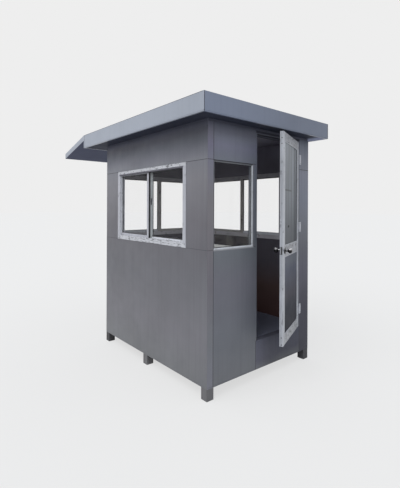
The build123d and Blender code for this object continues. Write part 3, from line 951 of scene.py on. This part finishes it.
def section_bar(width, depth, length, notches=(), mitred=True):
    """A bar up Z: face along X from its outer edge, depth along Y, notches (x0, x1, y0, y1)."""
    spare = width if mitred else 0
    only()
    bpy.ops.mesh.primitive_plane_add(size=1, location=(width / 2, depth / 2, -spare))
    bar = bpy.context.object
    bar.scale = (width, depth, 1)
    settle(bar)
    for x0, x1, y0, y1 in notches:
        for x in (x0, x1):
            if 0 < x < width:
                cut(bar, (x, 0, 0), (1, 0, 0))
        for y in (y0, y1):
            if 0 < y < depth:
                cut(bar, (0, y, 0), (0, 1, 0))
    if notches:
        pick(bar, lambda c, n: any(a < c.x < b and e < c.y < f for a, b, e, f in notches))
        bpy.ops.mesh.delete(type="FACE")
    pick(bar)
    bpy.ops.mesh.dissolve_limited(angle_limit=0.01)
    draw(0, 0, length + 2 * spare)
    outwards(bar)
    if mitred:
        cut(bar, (0, 0, JOINT), (1, 0, -1), drop=True)
        cut(bar, (0, 0, length - JOINT), (1, 0, 1), drop=True)
    return bar


def mitred_frame(x0, x1, z0, z1, width, front, depth, notches=()):
    """Four bars round an opening, mitred at the corners, their front at the given depth."""
    bars = []
    corners = (((x0, z0), 0), ((x0, z1), 90), ((x1, z1), 180), ((x1, z0), 270))
    for (x, z), turn in corners:
        length = z1 - z0 if turn % 180 == 0 else x1 - x0
        bar = section_bar(width, depth, length, notches)
        bars.append(settle(bar, (x, front, z), (0, turn, 0)))
    return join(bars)


print("bar helpers ready")

# %% turned pieces
def turned(profile, sides=24):
    """A turned piece up Z: a disc drawn up and scaled from one (radius, height) to the next."""
    (radius, level), rest = profile[0], profile[1:]
    only()
    bpy.ops.mesh.primitive_circle_add(
        vertices=sides, radius=radius, fill_type="NGON", location=(0, 0, level)
    )
    piece = settle(bpy.context.object)
    pick(piece)
    for wider, higher in rest:
        draw(0, 0, higher - level)
        ratio = wider / radius
        bpy.ops.transform.resize(value=(ratio, ratio, 1), center_override=(0, 0, 0))
        radius, level = wider, higher
    return outwards(piece)


print("turning helper ready")

# %% [markdown]
# ## Screws
# One pan-head screw is turned with a small twelve-sided recess in its top, then copied to
# every place that needs one, each copy with its own mesh.

# %% screws
def screw(radius, rise):
    """A pan head up Z with a recess."""
    head = turned([(radius, -rise), (radius, rise * 0.45), (radius * 0.86, rise * 0.8),
                   (radius * 0.6, rise)], 12)
    dish(head, lambda c, n: n.z > 0.9 and max(abs(c.x), abs(c.y)) < radius * 0.1,
         radius * 0.22, 0, 0, -rise * 0.6)
    return paint(smooth(head), SCREW_METAL)


def copies(original, places, turn):
    """Copies of a piece at these places, all turned the same way; the original is used up."""
    made = [settle(twin(original), place, turn) for place in places]
    bpy.data.objects.remove(original)
    return join(made)


TO_FRONT = (90, 0, 0)
print("screws ready")

# %% [markdown]
# ## Sliding windows
# The left, right and rear windows are the same kind: an outer frame with two grooves,
# and two sashes that slide in them, one behind the other. A window is built once as
# seen from outside, X to the right and Y into the wall, then turned to its wall. Sashes
# have upright stiles and level rails butted between them. Black rubber holds the glass
# along the rails; beside most stiles its beads take a pale or sash-grey coat as painted
# light. The outer sash has a dark seal where the two meet, dark also as painted shade of
# the gap, the inner one a rubber lip over its bottom rail and a small dark latch. The inner
# sash is a greyer copy of the white coat, as painted shade, with painted shade on its top
# rail and painted light on its bottom rail, while the outer sash's stile sides are painted
# light. The frame's side faces inside the opening are painted light, and the lower front
# and underside of its head painted shade. The right window is the left one seen in a
# mirror, so its outer sash is also the rear one.

# %% sash
SILL, HEAD = sill, window_head
FACE, PROUD, DEPTH, TRACK = mm(48, 3, 67, 28)
GROOVES = ((TRACK, FACE, 20 * MM, 38 * MM), (TRACK, FACE, 42 * MM, 60 * MM))
OUTER_FRONT, INNER_FRONT, SASH_DEEP, TOP_RAIL, BOTTOM_RAIL = mm(18, 40, 16, 24, 46)
SASH_GAP, JAMB_STILE, HEAD_SHADE_TOP = mm(30, 28, 31)
OUTER_MEETING, INNER_MEETING = mm(-41, -7), mm(-24, 30)
LATCH_X, LATCH_RISE, LATCH_HALF, LATCH_TALL_HALF, LATCH_PROUD = mm(14, 40, 8, 34, 3.5)


def sash(stiles, front, coat, dark_edge_x=math.inf):
    """Two stiles (each from, to), the rails between, rubbers, and a dark seal, also painted shade,
    down one edge.
    """
    low, high = SILL + TRACK, HEAD - TRACK - 3 * MM
    sill_z, head_z = low + BOTTOM_RAIL, high - TOP_RAIL
    shaded = coat == SASH_GREY
    (x0, x1), (x2, x3) = stiles
    bars = [block((start, front, foot), (end, front + SASH_DEEP, top))
            for start, end, foot, top in (
                (x0, x1, low, high), (x2, x3, low, high),
                (x1 + JOINT, x2 - JOINT, low, sill_z), (x1 + JOINT, x2 - JOINT, head_z, high))]

    def bar_finish(centre, normal):
        """Dark seal also as painted shade, painted shade on the top rail, painted light on the
        bottom rail or stile side, or the room side.
        """
        rail = shaded and x1 < centre.x < x2
        if abs(centre.x - dark_edge_x) < 1 * MM:
            return 2
        if rail and centre.z > head_z - 1 * MM:
            return 3
        if rail and centre.z < sill_z or not shaded and abs(normal.x) > 0.5:
            return 4
        return normal.y > 0.5

    bars = finished(bars, 0.9 * MM, coat, SASH_INNER, RUBBER, SASH_SHADE, JAMB_SIDE,
                    choose=bar_finish)
    rubbers = [mitred_frame(x1, x2, sill_z, head_z, 4 * MM, front + start, 3 * MM)
               for start in mm(2, 11)]
    if shaded:
        rubbers.append(block((x1, front - 0.6 * MM, sill_z - 10 * MM),
                             (x2, front + 2 * MM, sill_z + 1 * MM)))
    pale = (x1, x2) if shaded else (x1 if abs(x1 - dark_edge_x) > abs(x2 - dark_edge_x) else x2,)

    def bead_finish(centre, normal):
        """Painted light: pale where a bead lies beside a stile on the outer side of the glass."""
        return centre.y < front + 6 * MM and any(abs(centre.x - edge) < 5 * MM for edge in pale)

    rubbers = finished(rubbers, 0.8 * MM, RUBBER, coat if shaded else JAMB_SIDE,
                       choose=bead_finish)
    return join([bars, rubbers])


print("sash glass from", round(SILL + TRACK + BOTTOM_RAIL, 3), "m up")

# %% frame, sashes and latch
def frame_finish(c, n, half):
    """Which finish a frame face takes, by its centre, its normal and half the width."""
    if n.y > 0.5:
        return 2
    # Side faces inside the opening take the paler copy: painted light.
    if abs(n.x) > 0.5 and abs(c.x) < half - 10 * MM:
        return 5
    # The head's underside takes dark rubber and its lower front the dark strip: both painted
    # shade.
    if c.z > HEAD - FACE - 2 * MM and abs(c.x) < half - TRACK:
        if n.z < -0.3:
            return 4
        if c.z < HEAD - HEAD_SHADE_TOP and n.y < -0.5:
            return 3
    return int(c.z < SILL + FACE or c.z > HEAD - FACE)


def sliding_window(side, place, turn, mirrored=False):
    """Frame, two sashes and latch of one wall's window, turned to the wall."""
    low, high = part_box(f"{side}_window_frame")
    half = max(high.x - low.x, high.y - low.y) / 2
    reach = half - SASH_GAP
    outer = [(-reach, JAMB_STILE - reach), OUTER_MEETING]
    inner = [INNER_MEETING, (reach - JAMB_STILE, reach)]
    latch_x, dark_edge_x = LATCH_X, OUTER_MEETING[1]
    if mirrored:
        outer, inner = ([(-b, -a) for a, b in reversed(pair)] for pair in (outer, inner))
        latch_x, dark_edge_x = -latch_x, -dark_edge_x
    surround = mitred_frame(-half, half, SILL, HEAD, FACE, -PROUD, DEPTH, GROOVES)
    cut(surround, (0, 0, HEAD - HEAD_SHADE_TOP), (0, 0, 1))
    surround = finished([surround], 0.9 * MM, WINDOW_WHITE, WINDOW_RAIL, WINDOW_INNER, HEAD_SHADE,
                        RUBBER, JAMB_SIDE, choose=lambda c, n: frame_finish(c, n, half))
    latch_z = (SILL + HEAD) / 2 + LATCH_RISE
    latch = block((latch_x - LATCH_HALF, INNER_FRONT - LATCH_PROUD, latch_z - LATCH_TALL_HALF),
                  (latch_x + LATCH_HALF, INNER_FRONT + 1 * MM, latch_z + LATCH_TALL_HALF))
    dish(latch, lambda c, n: n.y < -0.9, 3 * MM, 0, 2.5 * MM, 0)
    latch = finished([latch], 0.8 * MM, LATCH)
    inner_sash = join([sash(inner, INNER_FRONT, SASH_GREY), latch])
    outer_sash = sash(outer, OUTER_FRONT, WINDOW_WHITE, dark_edge_x)
    parts = ("frame", "outer_sash", "inner_sash")
    for piece, part in zip((surround, outer_sash, inner_sash), parts):
        settle(piece, place, (0, 0, turn))
        hand_over(piece, f"{side}_window_{part}_bars", "booth", "window_aluminium",
                  f"{side}_window_{part}")
    paint(frame["nodes"][f"{side}_window_panes"], WINDOW_GLASS)


print("window helper ready")

# %% three windows
middle = (window_front + window_rear) / 2
sliding_window("left", (left_face, middle, 0), -90)
sliding_window("right", (right_face, middle, 0), 90, mirrored=True)
sliding_window("rear", (sum(rear_window) / 2, rear_face, 0), 180)

# %% [markdown]
# ## Front window
# The fixed window beside the door has only a slim frame set back in the wall, with
# rubber outside and inside the glass. Dark sealant fills the gap at its left side and
# head, dark also as painted shade; the head and left bars take a darker copy of the
# aluminium as painted shade, a strip of that darker copy closes its right side as painted
# shade, and a pale ledge strip laps over the edge of the panel below to shed rain.

# %% front window
low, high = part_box("front_window_frame")
SLIM, LEDGE, SIDE_STRIP, HEAD_STRIP = mm(16, 9, 3, 5)
strip_front, strip_foot = front_face + 1 * MM, low.z + 2 * MM


def slim_finish(centre, normal):
    """Painted shade at the head and at the left side."""
    return centre.z > high.z - SLIM or centre.x < low.x + SLIM


slim = mitred_frame(low.x, high.x, low.z, high.z, SLIM, low.y, high.y - low.y)
slim = finished([slim], 0.8 * MM, FRONT_BAR, SHADED_BAR, choose=slim_finish)
ledge = block((low.x, front_face - 0.4 * MM, low.z - LEDGE), (high.x, low.y, low.z + 1.5 * MM))
ledge = finished([ledge], 0.5 * MM, LEDGE_BAR)
pane_low, pane_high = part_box("front_window_pane")
dark = [mitred_frame(pane_low.x, pane_high.x, pane_low.z, pane_high.z, 4 * MM, start, 3 * MM)
        for start in (pane_low.y - 3 * MM, pane_high.y)]
dark.append(block((low.x, strip_front, strip_foot), (low.x + SIDE_STRIP, low.y, high.z)))
dark.append(block((low.x + SIDE_STRIP, strip_front, high.z - HEAD_STRIP),
                  (high.x - SIDE_STRIP, low.y, high.z)))
dark = finished(dark, 0.8 * MM, RUBBER)
# The right-hand strip takes that darker aluminium: painted shade.
beside = block((high.x - SIDE_STRIP, strip_front, strip_foot), (high.x, low.y, high.z))
beside = finished([beside], 0.8 * MM, SHADED_BAR)
hand_over(join([slim, ledge, dark, beside]), "front_window_bars", "booth", "window_aluminium",
          "front_window_frame")
paint(frame["nodes"]["front_window_pane"], FRONT_GLASS)

# %% [markdown]
# ## Door frame
# The lining of the doorway with its stop is one folded shape in the walls' colour, and its
# faces inside the doorway take a darker coat as painted shade. Its corners meet at two
# different widths, so the CAD shape is copied, its loose triangles are merged back into
# faces, and its edges are rounded.

# %% door frame
lining = twin(frame["nodes"]["door_frame"])
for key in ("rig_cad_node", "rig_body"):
    del lining[key]
lining.parent = None
pick(lining)
bpy.ops.mesh.remove_doubles(threshold=0.01 * MM)
bpy.ops.mesh.dissolve_limited(angle_limit=0.01)


def lining_finish(centre, normal):
    """The floor's coat on the threshold, the wall's on the front, painted shade inside the
    doorway.
    """
    if normal.z > 0.5 and centre.z < floor_top + 100 * MM:
        return 2
    return normal.y > -0.7


lining = finished([lining], 1 * MM, FRONT_CLADDING, DOORWAY_SHADE, FLOOR, choose=lining_finish)
hand_over(lining, "doorway_lining", "booth", "door_aluminium", "door_frame")

# %% [markdown]
# ## Door leaf
# The door is built closed in its own frame, X along the leaf to the hinges and Y into
# the room, then turned to where it stands ajar. Its stiles are drawn bars with a groove
# down their outer edges; three rails are butted between them; and mitred beads with
# rubber hold the glass above and the sheet below. The free edge has a dark latch plate
# at the height of the knobs and the dark heads of the screws that hold the rails.

# %% measures of the door
AJAR = 23.5
hinge_line = Vector(frame["joints"][0]["pos_m"])
lock_z = frame["joints"][1]["pos_m"][2]
swing = Matrix.Rotation(math.radians(AJAR), 3, "Z")
leaf_corner = hinge_line + swing @ Vector(mm(-6, 9, 0))
leaf_low, leaf_high = span("door_leaf_frame", 2)
glass_from, glass_to = span("door_glass", 2)
sheet_from, sheet_to = span("door_lower_panel", 2)
LEAF, THICK, STILE, BEAD_FACE = mm(675, 34, 62, 9)
GLASS_FACE, GLASS_BACK, SHEET_BACK = mm(6, 11, 12)
EDGE_GROOVE = mm(0, 6, 11, 23)
PLATE_FROM, PLATE_TO, PLATE_HALF = mm(8, 32, 36)
screw_levels = [leaf_low + up for up in mm(14, 80)] + [leaf_high - down for down in mm(61, 115)]
print("closed leaf from", round(leaf_low, 3), "to", round(leaf_high, 3), "m up")

# %% door leaf
def to_leaf(piece):
    """Turn a piece built on the closed leaf to the door's place."""
    return settle(piece, leaf_corner, (0, 0, AJAR))


def stile(place, turn):
    """One grooved upright of the leaf."""
    bar = section_bar(STILE, THICK, leaf_high - leaf_low, [EDGE_GROOVE], mitred=False)
    return settle(bar, place, (0, turn, 0))


stiles = [stile((-LEAF, 0, leaf_low), 0), stile((0, 0, leaf_high), 180)]
rails = [block((-LEAF + STILE + JOINT, 0, start), (-STILE - JOINT, THICK, end))
         for start, end in ((leaf_low, sheet_from), (sheet_to, glass_from), (glass_to, leaf_high))]
beads, rubbers = [], []
for start, end, back in ((glass_from, glass_to, GLASS_BACK), (sheet_from, sheet_to, SHEET_BACK)):
    opening = (-LEAF + STILE, -STILE, start, end)
    beads.append(mitred_frame(*opening, BEAD_FACE, 1.5 * MM, GLASS_FACE - 2.5 * MM))
    beads.append(mitred_frame(*opening, BEAD_FACE, back + 1 * MM, THICK - back - 3 * MM))
    for place in (GLASS_FACE - 1 * MM, back + 0.1 * MM):
        rubbers.append(mitred_frame(*opening, BEAD_FACE + 2 * MM, place, 0.9 * MM))
end_screws = copies(screw(5 * MM, 1.2 * MM),
                    [(5.4 * MM - LEAF, THICK / 2, level) for level in screw_levels],
                    (0, -90, 0))
latch_plate = block((-LEAF - 0.5 * MM, PLATE_FROM, lock_z - PLATE_HALF),
                    (-LEAF + 1 * MM, PLATE_TO, lock_z + PLATE_HALF))
dish(latch_plate, lambda c, n: n.x < -0.9, 4 * MM, 0.8 * MM, 0, 0)
leaf = join([
    finished(stiles, 1 * MM, DOOR_SILVER), finished(rails, 1 * MM, DOOR_RAIL),
    finished(beads, 0.9 * MM, DOOR_SILVER), finished(rubbers, 0.3 * MM, RUBBER),
    paint(end_screws, LATCH), finished([latch_plate], 0.3 * MM, LATCH)])
hand_over(to_leaf(leaf), "door_leaf_bars", "door", "door_aluminium", "door_leaf_frame")
paint(frame["nodes"]["door_glass"], DOOR_GLASS)
paint(frame["nodes"]["door_lower_panel"], DOOR_SHEET)

# %% [markdown]
# ## Knobs and roses
# Knob, neck and rose are turned on a lathe. A disc drawn up and scaled step by step
# gives the same rounded outline, and the face of each knob gets a small raised button.

# %% knobs and roses
KNOB_X = -615 * MM
KNOB_PROFILE = (
    (11, 0.6), (11, 24), (11.4, 28), (15, 31.5), (20, 36), (23.6, 41.5), (25, 47), (25, 50),
    (23.8, 56), (21, 62), (17.5, 66.5), (14, 68.2), (8, 68.2), (7.6, 68.9), (5, 68.9))
ROSE_PROFILE = (
    (33, 0.1), (33, 3.4), (32, 4.6), (27, 5.4), (22, 7.2), (17, 7.9), (11.7, 7.9), (11.6, 0.6))


def both_faces(profile):
    """A turned piece on the outer and the inner face of the leaf."""
    made = []
    for face, tilt in ((0, 90), (THICK, -90)):
        piece = smooth(turned([mm(*point) for point in profile], 40), 30)
        made.append(settle(piece, (KNOB_X, face, lock_z), (tilt, 0, 0)))
    return to_leaf(paint(join(made), KNOB_METAL))


hand_over(both_faces(KNOB_PROFILE), "door_knob_pair", "knobs", "knob_metal", "door_knobs")
hand_over(both_faces(ROSE_PROFILE), "door_rose_pair", "door", "knob_metal", "door_roses")

# %% [markdown]
# ## Hinges
# Three butt hinges stand outside on the leaf and the jamb. The end knuckles belong to
# the jamb, the middle ones to the door, all on one line, and each plate is held by two
# screws.

# %% hinges
LEVELS = mm(581, 1474, 2207)
TALL, KNUCKLE, EASE, SCREW_RISE, PLAY = mm(105, 7, 0.8, 37, 0.5)
THIRD = TALL / 3


def knuckle(low, high):
    """One barrel section up the hinge line, with its ends eased."""
    return smooth(turned([(KNUCKLE - EASE, low), (KNUCKLE, low + EASE), (KNUCKLE, high - EASE),
                          (KNUCKLE - EASE, high)]))


def hinge_half(plate, tab, barrels, turn, screw_x):
    """Three plates (x0, x1, y0, y1 in mm) with tabs, knuckles and screws, on the hinge line."""
    flat = [(plate, (level - TALL / 2, level + TALL / 2)) for level in LEVELS]
    flat += [(tab, barrel) for barrel in barrels]
    flat = [block((x0 * MM, y0 * MM, low), (x1 * MM, y1 * MM, high))
            for (x0, x1, y0, y1), (low, high) in flat]
    half = [soften(join(flat), 0.6 * MM), *(knuckle(*barrel) for barrel in barrels)]
    half = paint(join(half), HINGE_METAL)
    places = [(screw_x, 4.9 * MM, level + rise) for level in LEVELS
              for rise in (-SCREW_RISE, SCREW_RISE)]
    half = join([half, copies(screw(4 * MM, 1 * MM), places, TO_FRONT)])
    return settle(half, (hinge_line.x, hinge_line.y, 0), (0, 0, turn))


ends = [(level + low, level + high) for level in LEVELS
        for low, high in ((-TALL / 2, -THIRD / 2), (THIRD / 2, TALL / 2))]
middles = [(level - THIRD / 2 + PLAY, level + THIRD / 2 - PLAY) for level in LEVELS]
jamb_half = hinge_half((10, 34, 5, 9), (1, 10.2, 5, 9), ends, 0, 24 * MM)
hand_over(jamb_half, "hinge_jamb_leaves", "booth", "hinge_metal", "hinge_fixed_halves")
door_half = hinge_half((-34, -10, 5, 9), (-10.2, -2, 5, 8), middles, AJAR, -24 * MM)
hand_over(door_half, "hinge_door_leaves", "door", "hinge_metal", "hinge_door_halves")

# %% [markdown]
# ## Studio
# The booth stands on a wide pale floor under an even pale sky, which is what a big
# softbox studio amounts to. A large soft sun from the upper left models the shape: the
# left wall is the brightest, the front falls into half light, and the eaves shade the
# wall heads. Mirrors and glass see the same pale backdrop that the camera does.

# %% lights
AMBIENT, SUN = 0.94, 1.2
SKY, BACKDROP = (0.93, 0.965, 1.0, 1), linear("eeeeee")
SUN_WAY, SOFTNESS = Vector((0.64, 0.04, -0.77)), math.radians(50)


def seen_directly(tree):
    """1 where the camera, a mirror or glass looks, 0 where light is only gathered."""
    rays = add(tree, "LightPath").outputs
    seen = maths(tree, "MAXIMUM", rays["Is Camera Ray"], rays["Is Glossy Ray"])
    return maths(tree, "MAXIMUM", seen, rays["Is Transmission Ray"])


world = bpy.data.worlds.new("studio")
bpy.context.scene.world = world
tree = cleared(world)
sky = add(tree, "Background", Color=SKY, Strength=AMBIENT)
backdrop = add(tree, "Background", Color=BACKDROP, Strength=1.0)
show(tree, blend(tree, seen_directly(tree), sky, backdrop), "World")

sun = bpy.data.objects.new("softbox_sun", bpy.data.lights.new("softbox_sun", "SUN"))
bpy.context.scene.collection.objects.link(sun)
sun.data.energy = SUN
sun.data.angle = SOFTNESS
sun.rotation_euler = SUN_WAY.to_track_quat("-Z", "Y").to_euler()
print("ambient", AMBIENT, "sun", SUN)

# %% [markdown]
# The floor is shown in the tone of the backdrop: three parts of it glow with that tone
# and one part is lit, so that the booth's shadow falls softly. Towards the booth it acts
# as plain mid grey ground, which lights the soffit from below.

# %% floor
SIZE, GLOW = 240, 0.75
SKY_SHARE, SUN_SHARE = 0.963, -SUN_WAY.z / math.pi
FLOOR_LIGHT = AMBIENT * SKY_SHARE + SUN * SUN_SHARE
pale, tree = new_finish("studio_floor_paint")
lit = add(tree, "BsdfDiffuse", Color=[c / FLOOR_LIGHT for c in BACKDROP[:3]] + [1])
even = add(tree, "Emission", Color=BACKDROP, Strength=1.0)
bounce = add(tree, "BsdfDiffuse", Color=(0.45, 0.45, 0.45, 1))
show(tree, blend(tree, seen_directly(tree), bounce, blend(tree, GLOW, lit, even)))
only()
bpy.ops.mesh.primitive_plane_add(size=SIZE, location=(0, 0, 0))
ground = paint(bpy.context.object, pale)
ground.name = "studio_floor"
print("floor light", round(FLOOR_LIGHT, 3))
